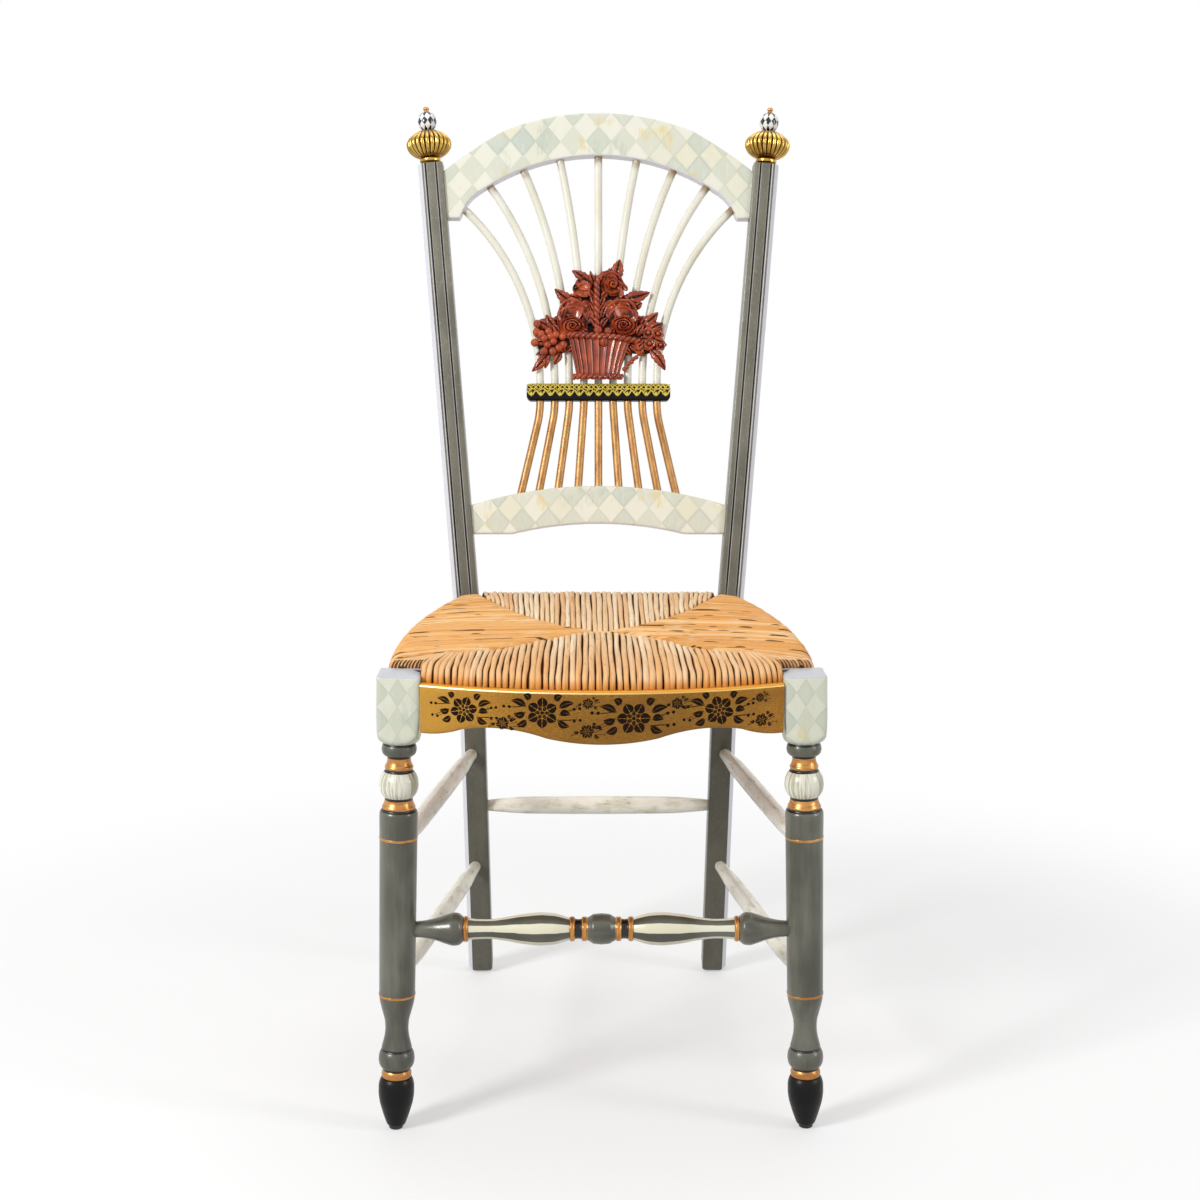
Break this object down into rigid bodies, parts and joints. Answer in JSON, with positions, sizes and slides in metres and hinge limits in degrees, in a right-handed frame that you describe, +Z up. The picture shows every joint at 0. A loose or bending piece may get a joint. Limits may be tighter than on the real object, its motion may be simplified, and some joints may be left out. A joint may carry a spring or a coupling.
{
  "type": "painted side chair",
  "caption": "Side chair with turned front legs, raked posts under melon finials, an arched crest over a bent spindle fan with a flower basket, and a woven rush seat.",
  "frame": {"origin": "on the floor, below the middle of the chair's bounding box", "axes": "+Z up, the front of the chair towards -Y, its left as seen from the front towards -X"},
  "size_m": [0.4646, 0.5653, 1.0733],
  "materials": {
    "leg_paint": "glazed grey-green paint with gold and cream bands",
    "post_paint": "glazed grey-green paint",
    "crest_paint": "cream paint with a soft painted lozenge pattern",
    "back_rail_paint": "cream paint with a soft painted lozenge pattern",
    "spindle_paint": "cream paint above the waist, copper gold below",
    "black_paint": "satin black paint",
    "gold_braid": "woven metallic braid",
    "red_glaze": "glazed brick red paint over carving",
    "polished_brass": "polished",
    "ball_paint": "black and cream paint",
    "cap_paint": "pale blue-grey paint",
    "steel_rod": "plain",
    "bare_wood": "unfinished beech",
    "woven_rush": "twisted rush, satin",
    "gilded_panel": "gilded with a stencilled print",
    "marbled_paint": "cream paint with pale washes",
    "striped_paint": "cream and grey paint with gold rings",
    "brown_glide": "moulded",
    "black_glide": "moulded"
  },
  "bodies": {
    "root": {"apron": "gilded_panel", "back_rail": "back_rail_paint", "basket_ornament": "red_glaze", "crest_rail": "crest_paint", "finial_balls": "ball_paint", "finial_caps": "cap_paint", "finial_collars": "polished_brass", "finial_melons": "polished_brass", "finial_rods": "steel_rod", "front_glides": "brown_glide", "front_leg_left": "leg_paint", "front_leg_right": "leg_paint", "front_seat_rail": "bare_wood", "front_stretcher": "striped_paint", "rear_glides": "black_glide", "rear_post_left": "post_paint", "rear_post_right": "post_paint", "rear_seat_rail": "bare_wood", "rear_stretcher": "marbled_paint", "rush_seat": "woven_rush", "side_seat_rail_left": "bare_wood", "side_seat_rail_right": "bare_wood", "side_stretcher_lower_left": "marbled_paint", "side_stretcher_lower_right": "marbled_paint", "side_stretcher_upper_left": "marbled_paint", "side_stretcher_upper_right": "marbled_paint", "spindle_1": "spindle_paint", "spindle_2": "spindle_paint", "spindle_3": "spindle_paint", "spindle_4": "spindle_paint", "spindle_5": "spindle_paint", "spindle_6": "spindle_paint", "spindle_7": "spindle_paint", "spindle_8": "spindle_paint", "spindle_9": "spindle_paint", "waist_bar": "black_paint", "waist_braid": "gold_braid"}
  },
  "joints": []
}
